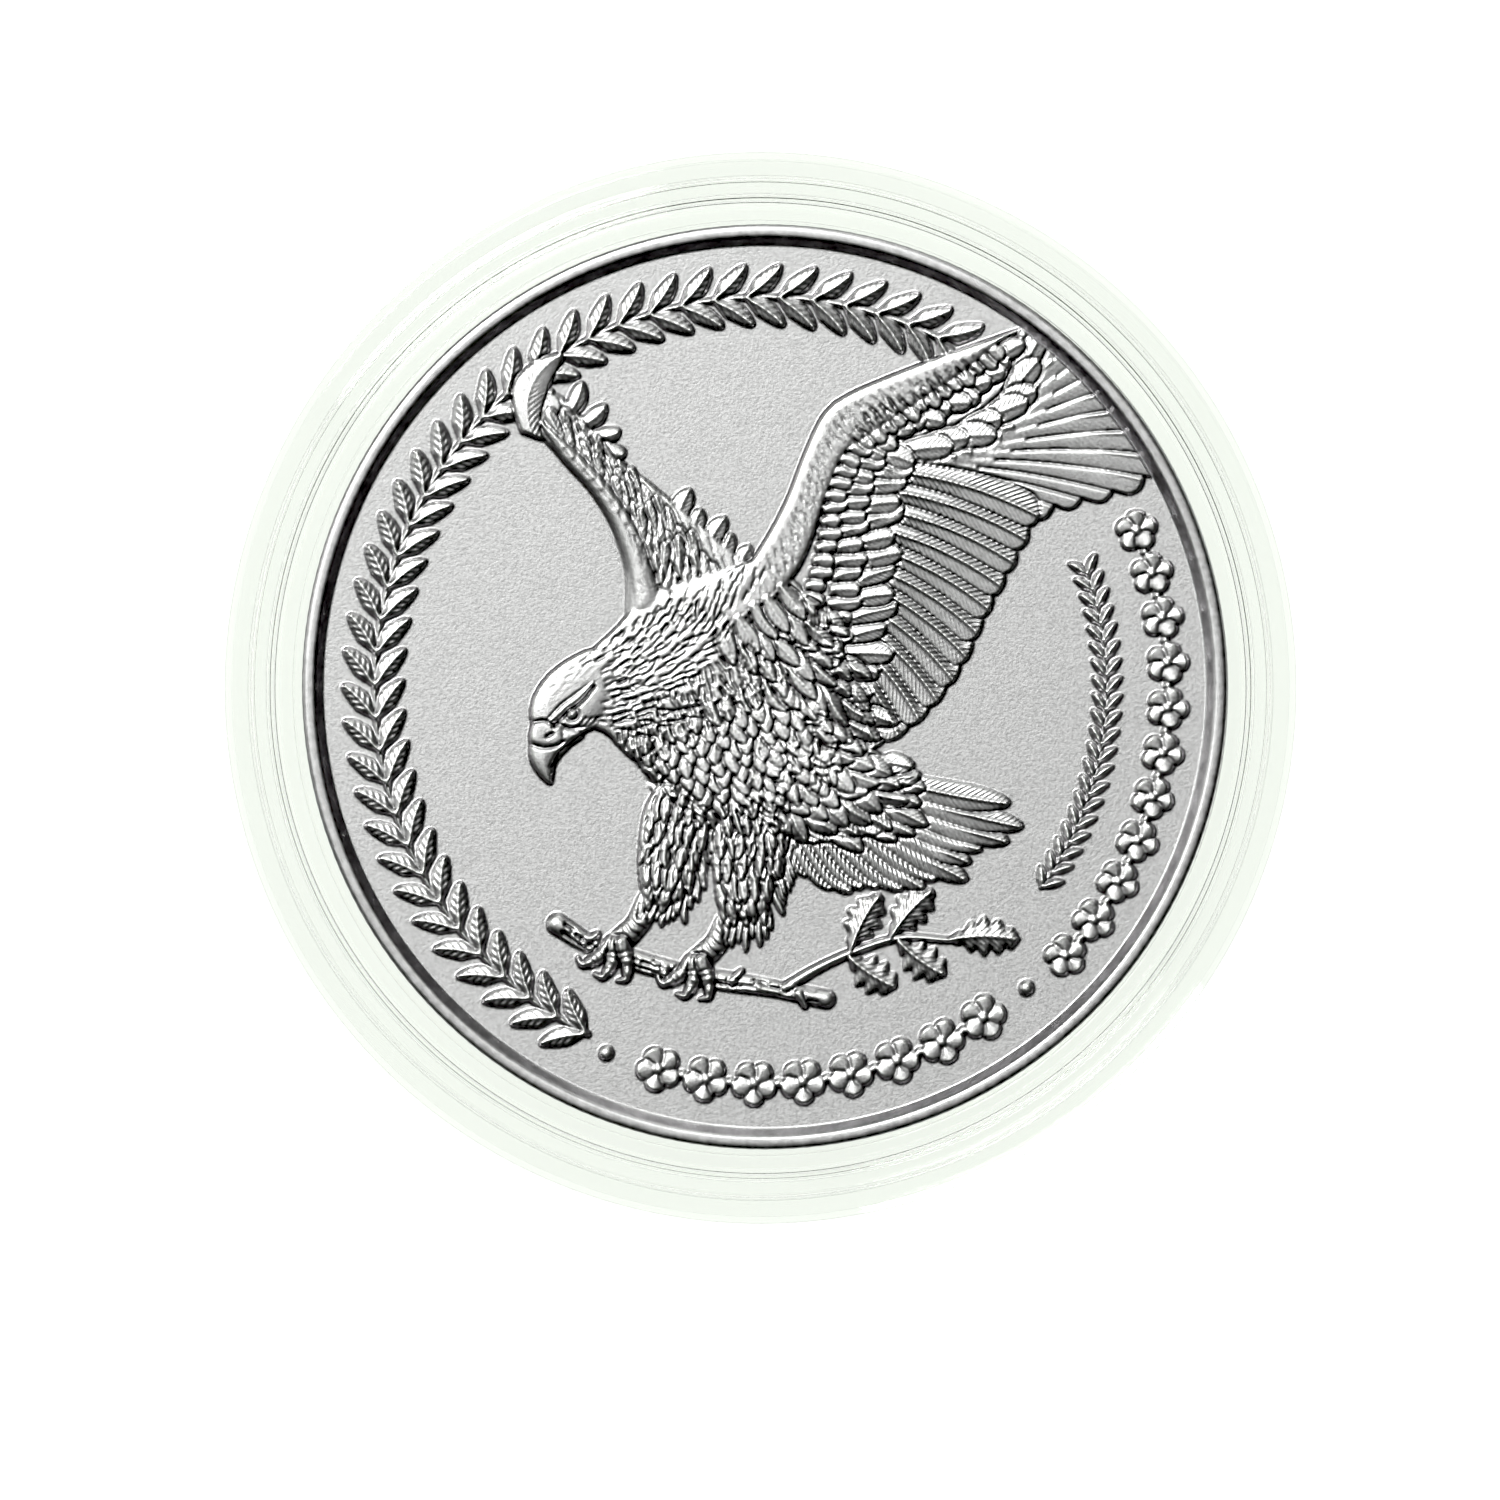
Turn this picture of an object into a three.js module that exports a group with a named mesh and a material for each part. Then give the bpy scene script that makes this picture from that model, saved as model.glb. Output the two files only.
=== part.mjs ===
// Round coin capsule with a bullion coin, lying flat: millimetres, +Z up, origin at the
// middle of the foot ring. Three loose pieces: lower shell, upper shell and coin.
import * as THREE from "three";

// The coin, and how far it may shift inside its chamber.
const coinDiameter = 40.6;
const coinThickness = 2.98;
const coinRimWidth = 0.55;
const coinBevelWidth = 0.42;
const coinFieldRecess = 0.38;
const coinEdgeBreak = 0.08;
const coinSidePlay = 0.2;
const coinRestShift = { x: 0.18, y: 0.05 };

// The capsule.
const capsuleDiameter = 47;
const capsuleHeight = 6;
const windowThickness = 1.1;
const windowRecess = 0.25;
const flangeSlope = 0.1;
const stackRimInner = 21.65;
const stackRimOuter = 22.36;
const flangeStep = 0.6;
const flangeOuter = 23.15;
const nailGroove = 0.3;
const nailGrooveDepth = 0.3;

// The collar of the lower shell, which plugs into the skirt of the upper shell.
const collarThickness = 0.8;
const collarTopGap = 0.25;
const collarLeadIn = 0.2;
const skirtClearance = 0.05;

// Facets round every turned piece.
const facets = 96;

// Radii and heights that follow from the sizes above.
const coinRadius = coinDiameter / 2;
const capsuleRadius = capsuleDiameter / 2;
const chamberRadius = coinRadius + coinSidePlay;
const collarRadius = chamberRadius + collarThickness;
const skirtRadius = collarRadius + skirtClearance;
const partingHeight = capsuleHeight / 2;
const chamberFloor = windowRecess + windowThickness;
const chamberCeiling = capsuleHeight - chamberFloor;
const collarTop = chamberCeiling - collarTopGap;
const outerChamfer = capsuleRadius - flangeOuter;

// Turns a closed outline of [radius, height] points about +Z.
function turned(outline) {
  const points = outline.map(([radius, height]) => new THREE.Vector2(radius, height));
  const geometry = new THREE.LatheGeometry(points, facets);
  geometry.rotateX(Math.PI / 2);
  return geometry;
}

// The outside of one shell from the middle of its window to the parting line, for a shell
// that stands on its own stacking rim at height 0.
function shellOutside() {
  return [
    [0, windowRecess],
    [stackRimInner - flangeSlope, windowRecess],
    [stackRimInner, 0],
    [stackRimOuter - flangeSlope, 0],
    [stackRimOuter, flangeStep],
    [flangeOuter, flangeStep],
    [capsuleRadius, flangeStep + outerChamfer],
    [capsuleRadius, partingHeight - nailGroove],
    [capsuleRadius - nailGrooveDepth, partingHeight],
  ];
}

function named(name, geometry, material) {
  const mesh = new THREE.Mesh(geometry, material);
  mesh.name = name;
  return mesh;
}

function clearPlastic() {
  return new THREE.MeshStandardMaterial({
    color: 0xf1f7ef,
    roughness: 0.08,
    metalness: 0,
    transparent: true,
    opacity: 0.3,
  });
}

function satinSilver() {
  return new THREE.MeshStandardMaterial({ color: 0xc6c8c9, roughness: 0.35, metalness: 1 });
}

// Lower shell: window, flange and the upstanding collar that holds the coin.
function baseShell() {
  const inside = [
    [collarRadius, partingHeight],
    [collarRadius, collarTop - collarLeadIn],
    [collarRadius - collarLeadIn, collarTop],
    [chamberRadius, collarTop],
    [chamberRadius, chamberFloor],
    [0, chamberFloor],
  ];
  return named("base_shell", turned([...shellOutside(), ...inside]), clearPlastic());
}

// Upper shell: the lower shell's outside turned over, with a skirt that fits over the collar.
function lidShell() {
  const outside = shellOutside().map(([radius, height]) => [radius, capsuleHeight - height]);
  const inside = [
    [skirtRadius, partingHeight],
    [skirtRadius, chamberCeiling],
    [0, chamberCeiling],
  ];
  return named("lid_shell", turned([...outside, ...inside].reverse()), clearPlastic());
}

// Coin: a raised rim round two recessed fields. It lies on the chamber floor, against one side.
function coin() {
  const rimInner = coinRadius - coinRimWidth;
  const fieldRadius = rimInner - coinBevelWidth;
  const underside = [
    [0, coinFieldRecess],
    [fieldRadius, coinFieldRecess],
    [rimInner, 0],
    [coinRadius - coinEdgeBreak, 0],
    [coinRadius, coinEdgeBreak],
  ];
  const face = underside.map(([radius, height]) => [radius, coinThickness - height]).reverse();
  const mesh = named("coin", turned([...underside, ...face]), satinSilver());
  mesh.position.set(coinRestShift.x, coinRestShift.y, chamberFloor);
  return mesh;
}

const capsule = new THREE.Group();
capsule.name = "coin_capsule";
capsule.add(baseShell());
capsule.add(lidShell());
capsule.add(coin());

export default capsule;
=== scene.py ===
"""The looks of a clear coin capsule and the silver coin in it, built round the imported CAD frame."""
import math

import bpy
import numpy as np
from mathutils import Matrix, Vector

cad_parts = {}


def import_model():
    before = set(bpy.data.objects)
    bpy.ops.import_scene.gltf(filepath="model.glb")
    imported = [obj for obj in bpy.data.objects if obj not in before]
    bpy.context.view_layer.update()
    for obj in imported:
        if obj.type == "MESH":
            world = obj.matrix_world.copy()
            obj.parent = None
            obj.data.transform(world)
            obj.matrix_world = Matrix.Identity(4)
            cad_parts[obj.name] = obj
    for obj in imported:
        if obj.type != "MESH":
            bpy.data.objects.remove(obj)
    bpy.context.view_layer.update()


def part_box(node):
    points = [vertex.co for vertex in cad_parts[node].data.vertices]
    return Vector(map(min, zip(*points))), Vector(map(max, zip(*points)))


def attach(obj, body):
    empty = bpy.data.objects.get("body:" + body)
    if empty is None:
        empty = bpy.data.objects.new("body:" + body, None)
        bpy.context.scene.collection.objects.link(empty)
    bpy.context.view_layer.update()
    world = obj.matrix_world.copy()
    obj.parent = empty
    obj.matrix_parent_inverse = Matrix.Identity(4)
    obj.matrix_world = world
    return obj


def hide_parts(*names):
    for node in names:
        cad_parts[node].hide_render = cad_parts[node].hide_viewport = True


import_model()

MM = 0.001

# --- drawing a face in relief

# The coin's face is drawn in millimetres from its centre, +Y up, on a raster of heights above the field.
RASTER_STEP = 0.04
RASTER_REACH = 20.0
RASTER_AXIS = np.arange(-RASTER_REACH, RASTER_REACH + RASTER_STEP / 2, RASTER_STEP)
RASTER_CELLS = len(RASTER_AXIS)
SOFTENING = 0.038
KNEE = 0.3
ABOVE_KNEE = 0.35
GROOVE_WIDTH = 0.07
GROOVE_START = 0.12
SHAFT_WIDTH = 0.07
BARB_SLANT = 1.2
BARB_FADE = 0.12
LOBE_PITCH = 0.62
ROPE_SHARE = 0.8
GROUND_SHARE = 0.4
ENGRAVED_ABOVE = 0.06
ENGRAVED_FLOOR = 0.02
# The map of painted shade in grooves and painted highlight on high lines: the blur it is measured against,
# the depth that counts in full, and how much less shade is painted on the field.
PAINTED_SHADE_REACH = 0.12
PAINTED_SHADE_DEPTH = 0.06
FIELD_HEIGHT = 0.08
PAINTED_SHADE_CUT_ON_FIELD = 0.7
TINY = 1e-12


def around(low, high):
    """The raster's rows and columns between two corners, and the coordinates of their cells."""
    first = np.floor((np.array(low) + RASTER_REACH) / RASTER_STEP).astype(int)
    last = np.ceil((np.array(high) + RASTER_REACH) / RASTER_STEP).astype(int) + 1
    first = np.clip(first, 0, RASTER_CELLS - 1)
    last = np.clip(last, 1, RASTER_CELLS)
    columns = slice(first[0], last[0])
    rows = slice(first[1], last[1])
    x, y = np.meshgrid(RASTER_AXIS[columns], RASTER_AXIS[rows])
    return (rows, columns), x, y


def smooth_step(value):
    value = np.clip(value, 0, 1)
    return value * value * (3 - 2 * value)


def curve_through(points, steps=10, closed=False):
    """A Catmull-Rom curve through given points."""
    points = np.array(points, float)
    if closed:
        padded = np.vstack([points[-1], points, points[0], points[1]])
    else:
        padded = np.vstack([2 * points[0] - points[1], points, 2 * points[-1] - points[-2]])
    t = np.linspace(0, 1, steps, endpoint=False)[:, None]
    pieces = []
    for a, b, c, d in zip(padded, padded[1:], padded[2:], padded[3:]):
        square = 2 * a - 5 * b + 4 * c - d
        cube = 3 * b - a - 3 * c + d
        pieces.append(0.5 * (2 * b + (c - a) * t + square * t**2 + cube * t**3))
    if not closed:
        pieces.append(points[-1:])
    return np.vstack(pieces)


def from_segment(x, y, start, end):
    """Each cell's distance from a segment, and the share of the segment at which it is nearest."""
    (ax, ay), (bx, by) = start, end
    dx, dy = bx - ax, by - ay
    along = np.clip(((x - ax) * dx + (y - ay) * dy) / (dx * dx + dy * dy + TINY), 0, 1)
    return np.hypot(x - ax - along * dx, y - ay - along * dy), along


def depth_inside(outline, x, y):
    """How far each cell lies inside a closed outline, negative outside it."""
    nearest = np.full(x.shape, np.inf)
    inside = np.zeros(x.shape, bool)
    for start, end in zip(outline, np.roll(outline, -1, axis=0)):
        nearest = np.minimum(nearest, from_segment(x, y, start, end)[0])
        (ax, ay), (bx, by) = start, end
        if ay != by:
            crosses = (ay > y) != (by > y)
            inside ^= crosses & (x < (y - ay) * (bx - ax) / (by - ay) + ax)
    return np.where(inside, nearest, -nearest)


def mass(face, outline, height, shoulder, floor=0.06, over=False):
    """Raises a smooth pillow inside an outline: shoulder is how far in it rises to its full height."""
    window, x, y = around(outline.min(0), outline.max(0))
    depth = depth_inside(outline, x, y)
    rise = np.clip(depth / shoulder, 0, 1)
    pillow = floor + (height - floor) * np.sqrt(1 - (1 - rise) ** 2)
    pillow = np.where(depth > 0, pillow, 0)
    part = face[window]
    face[window] = np.where(depth > 0, pillow if over else np.maximum(part, pillow), part)


def ridge(face, path, radii, height, groove=0.0):
    """Raises a round rope of changing radius along a path, such as a twig, a toe or a wing bone."""
    path = np.array(path, float)
    radii = np.interp(np.linspace(0, 1, len(path)), np.linspace(0, 1, len(radii)), radii)
    reach = max(radii) + 0.2
    window, x, y = around(path.min(0) - reach, path.max(0) + reach)
    best = np.full(x.shape, np.inf)
    for start, end, r0, r1 in zip(path, path[1:], radii, radii[1:]):
        away, along = from_segment(x, y, start, end)
        best = np.minimum(best, away / (r0 + (r1 - r0) * along))
    part = face[window]
    edge = np.exp(-(((best - 1) / 0.3) ** 2)) * (best >= 1)
    part = part - groove * edge * (part > groove)
    rope = height * np.sqrt(np.clip(1 - best**2, 0, 1))
    face[window] = np.where(best < 1, np.maximum(rope, part * GROUND_SHARE + rope * ROPE_SHARE), part)


def feather(face, root, tip, width, lift, bend=0.0, ground=None, camber=0.05, shaft=0.03,
            barb=0.012, pitch=0.26, split=0.7, point=2.0, groove=0.05, root_width=0.6, lobes=0.0):
    """Lays one feather or leaf over what is there. lift is its height at its root and at its tip,
    over ground where that is given; it has a shaft, slanting barbs and a fine groove round it."""
    root = np.array(root, float)
    tip = np.array(tip, float)
    length = math.hypot(*(tip - root))
    along = (tip - root) / length
    reach = width + abs(bend) * length + 0.2
    window, x, y = around(np.minimum(root, tip) - reach, np.maximum(root, tip) + reach)
    u = ((x - root[0]) * along[0] + (y - root[1]) * along[1]) / length
    v = (y - root[1]) * along[0] - (x - root[0]) * along[1] - 4 * bend * length * u * (1 - u)
    past = np.clip((u - split) / (1 - split), 0, 1)
    swell = root_width + (1 - root_width) * smooth_step(u / split)
    half = width / 2 * swell * np.sqrt(1 - past**point)
    half = half * (1 - lobes * (0.5 + 0.5 * np.cos(2 * math.pi * u * length / LOBE_PITCH)))
    half = np.where(u < 0, 0, half)
    side = np.abs(v)
    outside = np.where(u > 1, np.hypot(side, (u - 1) * length), side - half)
    inside = (u > 0) & (u < 1) & (side < half)
    t = side / np.maximum(half, 1e-6)
    clear = np.clip(u, 0, 1)
    low, high = lift
    surface = low + (high - low) * clear + camber * (1 - t**2)
    surface = surface + shaft * np.exp(-((v / SHAFT_WIDTH) ** 2)) * (1 - 0.5 * clear)
    phase = (u * length - side * BARB_SLANT) / pitch
    surface = surface - barb * (0.5 + 0.5 * np.cos(2 * math.pi * phase)) * smooth_step(side / BARB_FADE)
    if ground is not None:
        surface = surface + ground[window]
    part = face[window]
    rim = np.exp(-((np.maximum(outside, 0) / GROOVE_WIDTH) ** 2)) * (u > GROOVE_START)
    lowered = np.where(part > 0, np.maximum(part - groove * rim, 0), part)
    face[window] = np.where(inside, surface, lowered)


def along_path(path, amount):
    """The point at a share of a path's length, and the unit direction there."""
    path = np.array(path, float)
    steps = np.hypot(*np.diff(path, axis=0).T)
    run = np.concatenate([[0], np.cumsum(steps)])
    at = amount * run[-1]
    i = int(np.clip(np.searchsorted(run, at) - 1, 0, len(steps) - 1))
    share = (at - run[i]) / steps[i]
    return path[i] + share * (path[i + 1] - path[i]), (path[i + 1] - path[i]) / steps[i]


def turned(vector, degrees):
    """A vector turned anticlockwise."""
    angle = math.radians(degrees)
    c, s = math.cos(angle), math.sin(angle)
    return np.array([vector[0] * c - vector[1] * s, vector[0] * s + vector[1] * c])


def softened(face, amount=SOFTENING):
    """A blur: a light one gives steps the small radius that a struck coin's have."""
    reach = int(math.ceil(2.5 * amount / RASTER_STEP))
    offsets = np.arange(-reach, reach + 1)
    weights = np.exp(-((offsets * RASTER_STEP / amount) ** 2) / 2)
    weights /= weights.sum()
    for axis in (0, 1):
        face = sum(w * np.roll(face, o, axis=axis) for w, o in zip(weights, offsets))
    return face


# --- the bird

# The bird lands to the left. Its outline runs clockwise from the forehead over the back.
HEAD_TOP = [(-10.2, -1.0), (-9.85, 0.0), (-8.95, 0.9), (-7.6, 1.65), (-6.5, 2.65), (-5.5, 3.7), (-4.2, 4.4)]
BACK = [(-2.6, 4.9), (-0.6, 5.4), (1.4, 4.6), (2.6, 2.4), (3.2, 0.2), (3.8, -1.9), (5.6, -3.5), (5.2, -5.4)]
BELLY = [(3.0, -6.4), (0.9, -6.5), (-1.0, -5.9), (-2.6, -6.0), (-3.8, -5.2), (-4.9, -4.1), (-6.2, -2.8)]
CHEEK = [(-7.0, -2.0), (-7.9, -1.8), (-8.6, -2.2), (-9.4, -2.5), (-10.1, -2.0)]
BODY = curve_through(HEAD_TOP + BACK + BELLY + CHEEK, closed=True)
EYE = np.array([-8.44, -1.2])


def outlined(*edges):
    """A closed outline made of several curves, one after the other."""
    return np.vstack([curve_through(edge) for edge in edges])


def fan(face, roots, tips, count, width, lift, bend=0.0, ragged=0.0, rng=None, **looks):
    """Long feathers side by side, from points along one curve to points along another."""
    roots = curve_through(roots)
    tips = curve_through(tips)
    for i in range(count):
        share = min((i + 0.5) / count, 0.999)
        root = along_path(roots, share)[0]
        tip = along_path(tips, share)[0]
        if ragged:
            tip = root + (tip - root) * (1 + rng.uniform(-ragged, ragged))
        feather(face, root, tip, width, lift, bend=bend, **looks)


def covert_row(face, path, count, length, width, lean, lift, reverse=False, **looks):
    """A row of overlapping short feathers that grow to one side of a curve, no two quite alike."""
    path = curve_through(path)
    order = range(count - 1, -1, -1) if reverse else range(count)
    looks = {"bend": 0.03, "camber": 0.035, "shaft": 0.02, "barb": 0.02, "pitch": 0.24, "split": 0.62,
             "point": 2.4, **looks}
    for i in order:
        root, direction = along_path(path, (i + 0.5) / count)
        direction = turned(direction, lean + 7 * math.sin(2.3 * i))
        reach = 0.75 * length * (1 + 0.14 * math.sin(3.7 * i))
        feather(face, root - direction * 0.25 * length, root + direction * reach, width, lift, **looks)


def laid_out(outline, lean, along, across, inset):
    """Spots in staggered rows inside an outline, the furthest one at the angle lean first."""
    forward = turned((1, 0), lean)
    sideways = turned(forward, 90)
    ahead = outline @ forward
    beside = outline @ sideways
    spots = []
    for k, row in enumerate(np.arange(ahead.max(), ahead.min(), -along)):
        for column in np.arange(beside.min() + across * (k % 2) / 2, beside.max(), across):
            spots.append(row * forward + column * sideways)
    spots = np.array(spots)
    return spots[depth_inside(outline, spots[:, 0], spots[:, 1]) > inset]


def dress(face, outline, lean, flow, length, width, rng, step=0.6, wander=6, plateau=0.0, inset=0.1,
          **looks):
    """Covers an outline with overlapping feathers, row upon row; flow gives their angle at a place."""
    ground = np.maximum(face, plateau)
    for spot in laid_out(outline, lean, length * step, width * 0.92, inset):
        spot = spot + rng.normal(0, width * 0.07, 2)
        direction = turned((1, 0), flow(*spot) + rng.normal(0, wander))
        feather(face, spot, spot + direction * length, width, (-0.01, 0.03), ground=ground, **looks)


def etch(face, outline, lean, flow, length, gap, rng, depth=0.08, radius=0.045, wander=8, inset=0.12):
    """Cuts short fine strokes all over an outline, each along the flow at its place."""
    for spot in laid_out(outline, lean, length * 1.15, gap, inset):
        spot = spot + rng.normal(0, gap * 0.22, 2)
        reach = length * rng.uniform(0.6, 1.1)
        direction = turned((1, 0), flow(*spot) + rng.normal(0, wander))
        bow = turned(direction, 90) * reach * rng.uniform(-0.08, 0.08)
        stroke = [spot, spot + direction * reach * 0.5 + bow, spot + direction * reach]
        engrave(face, stroke, radius, depth * rng.uniform(0.6, 1.1))


def engrave(face, path, radius, depth):
    """Cuts a fine groove along a path."""
    path = np.array(path, float)
    window, x, y = around(path.min(0) - 4 * radius, path.max(0) + 4 * radius)
    best = np.full(x.shape, np.inf)
    for start, end in zip(path, path[1:]):
        best = np.minimum(best, from_segment(x, y, start, end)[0])
    part = face[window]
    cut = part - depth * np.exp(-((best / radius) ** 2))
    face[window] = np.where(part > ENGRAVED_ABOVE, np.maximum(cut, ENGRAVED_FLOOR), part)


def near_wing(face, rng):
    """Flight feathers first, then row upon row of coverts, and the smooth leading edge last."""
    front = [(-1.5, 4.2), (-0.2, 6.1), (0.9, 8.1), (1.8, 10.4), (2.6, 12.0), (3.6, 12.8), (5.4, 13.6),
             (8.0, 14.6), (11.2, 15.7)]
    inner = [(10.4, 15.2), (9.0, 14.0), (7.4, 12.9), (5.6, 11.7), (4.4, 10.9), (3.5, 10.2), (2.8, 8.6),
             (2.2, 6.8), (1.5, 5.2), (0.4, 3.9), (-1.0, 2.6)]
    rear = [(13.4, 14.8), (15.6, 12.6), (16.2, 10.6), (13.2, 9.2), (10.4, 8.0), (8.4, 5.0), (7.0, 2.2),
            (5.0, 0.0), (3.4, -1.4), (1.6, 0.6), (-0.4, 2.2)]
    mass(face, outlined(front, rear), 0.12, 1.2, floor=0.09)
    fan(face, [(6.0, 9.9), (8.3, 10.3), (10.2, 11.2), (11.4, 12.6), (11.8, 14.0), (11.3, 15.4)],
        [(12.0, 7.6), (14.0, 8.4), (17.2, 9.4), (19.4, 12.4), (18.0, 16.6), (14.6, 19.0)], 13, 1.6,
        (0.13, 0.12), bend=0.03, camber=0.03, shaft=0.04, barb=0.008, split=0.88, point=3.0, pitch=0.3,
        groove=0.1, root_width=0.8)
    fan(face, [(2.4, -0.6), (3.8, 1.0), (4.7, 3.6), (5.2, 7.0), (5.6, 9.9)],
        [(3.2, -3.3), (6.2, -2.0), (8.4, 0.4), (9.8, 3.2), (11.1, 5.6), (12.3, 8.0)], 13, 1.5,
        (0.15, 0.14), bend=0.05, camber=0.03, shaft=0.045, barb=0.075, split=0.85, point=3.2, pitch=0.27,
        groove=0.11)
    hand = [(6.0, 10.2), (8.2, 10.9), (10.0, 11.9), (11.1, 13.2), (11.5, 15.0)]
    covert_row(face, hand, 9, 2.5, 1.1, -10, (0.17, 0.17), reverse=True, barb=0.04, groove=0.1)
    hand = [(5.0, 11.2), (7.0, 12.0), (8.8, 13.0), (10.4, 14.6)]
    covert_row(face, hand, 10, 1.7, 0.9, -22, (0.2, 0.2), reverse=True, barb=0.03, groove=0.1)
    arm = [(2.9, -0.4), (3.8, 1.4), (4.2, 4.4), (4.4, 7.2), (4.7, 9.2), (5.4, 10.6)]
    covert_row(face, arm, 14, 2.2, 1.02, -70, (0.18, 0.18), barb=0.04, groove=0.1)
    arm = [(2.2, 0.9), (3.0, 3.2), (3.4, 5.6), (3.6, 8.0), (4.1, 9.8), (5.0, 11.2)]
    covert_row(face, arm, 17, 1.4, 0.8, -74, (0.21, 0.21), groove=0.09)
    arm = [(1.2, 2.6), (2.1, 4.6), (2.6, 6.6), (3.0, 8.6), (3.6, 10.0), (4.4, 11.0), (6.4, 12.4),
           (8.6, 13.8), (10.2, 15.0)]
    covert_row(face, arm, 28, 1.0, 0.68, -72, (0.23, 0.23), barb=0.0, groove=0.08)
    bone = outlined(front, inner)
    mass(face, bone, 0.28, 0.5, floor=0.2, over=True)
    etch(face, bone, 40, lambda x, y: -60 + 5 * (x - 3), 0.35, 0.2, rng, depth=0.022, radius=0.04,
         inset=0.4)
    wrist = region((3.6, 10.7), (4.6, 12.2), (7.2, 13.6), (10.0, 14.9), (8.6, 13.6), (6.0, 11.9))
    etch(face, wrist, 30, lambda x, y: -38, 0.4, 0.2, rng, depth=0.06, inset=0.05)


def far_wing(face, rng):
    """The wing on the far side, seen almost edge on, with the fingers of its tip spread."""
    front = [(-5.6, 3.4), (-5.9, 5.0), (-6.6, 7.0), (-7.6, 8.6), (-9.0, 10.1), (-10.3, 11.6), (-10.9, 12.7)]
    rear = [(-10.0, 13.2), (-8.9, 12.7), (-7.8, 11.6), (-6.8, 10.4), (-5.0, 8.9), (-3.4, 7.6), (-2.0, 6.4),
            (-0.6, 5.0), (-2.4, 3.6)]
    trailing = [(-0.9, 4.6), (-2.6, 6.1), (-4.2, 7.5)]
    covert_row(face, trailing, 5, 1.9, 0.95, -72, (0.1, 0.1), barb=0.04, split=0.6, point=1.6, groove=0.09)
    for i in range(4):
        share = i / 3
        root = np.array([-8.9, 11.7]) + share * np.array([1.5, -1.0])
        direction = turned((1, 0), 62 - 84 * share)
        feather(face, root, root + direction * (1.9 - 0.5 * share), 0.8, (0.16, 0.13), bend=-0.1,
                split=0.62, point=1.6, pitch=0.26, groove=0.1, barb=0.02)
    outline = outlined(front, rear)
    mass(face, outline, 0.19, 1.0, floor=0.11)
    left = np.array([(-5.2, 3.2), (-5.6, 5.4), (-7.2, 8.4), (-9.4, 11.0)])
    right = np.array([(-0.6, 4.2), (-2.4, 5.9), (-5.0, 8.4), (-8.2, 11.4)])
    for offset, lift, count in ((0.74, 0.15, 13), (0.5, 0.17, 14), (0.26, 0.19, 15)):
        path = left + (right - left) * offset
        covert_row(face, path, count, 1.7, 0.62, -22, (lift, lift), barb=0.02, camber=0.025, groove=0.075)
    etch(face, outline, 118, lambda x, y: 124 - 3 * (x + 8), 0.8, 0.3, rng, depth=0.038, inset=0.25)
    feather(face, (-10.2, 11.0), (-8.9, 14.6), 1.5, (0.2, 0.16), bend=0.2, camber=0.06, shaft=0.0,
            barb=0.03, split=0.5, point=1.5, groove=0.08, root_width=0.7)
    bone = curve_through([(-5.2, 3.2), (-5.5, 5.2), (-6.2, 7.1), (-7.2, 8.7), (-8.6, 10.2), (-9.8, 11.6)])
    ridge(face, bone, [0.9, 0.6, 0.5, 0.45, 0.4, 0.1], 0.22)


def tail(face, rng):
    """Long tail feathers in a half-closed fan, and a row of shorter ones over their roots."""
    tips = [(1.7, -8.1), (3.5, -8.8), (5.4, -9.1), (7.5, -8.7), (9.4, -7.8), (10.8, -6.4), (11.2, -4.8)]
    roots = [(0.4, -5.4), (1.8, -5.0), (3.0, -4.2), (3.9, -3.4)]
    fan(face, roots, tips, 14, 1.2, (0.1, 0.13), bend=-0.03, ragged=0.09, rng=rng, camber=0.045, shaft=0.045,
        barb=0.065, split=0.72, point=1.6, pitch=0.27, groove=0.12)
    tips = [(1.4, -6.7), (3.6, -7.1), (5.8, -6.6), (7.4, -5.8), (7.9, -4.3)]
    fan(face, roots, tips, 10, 1.15, (0.15, 0.18), ragged=0.2, rng=rng, camber=0.06, barb=0.05, split=0.55,
        point=1.6, pitch=0.24, groove=0.12)


def region(*points):
    """A smooth closed outline through some points."""
    return curve_through(points, closed=True)


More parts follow.
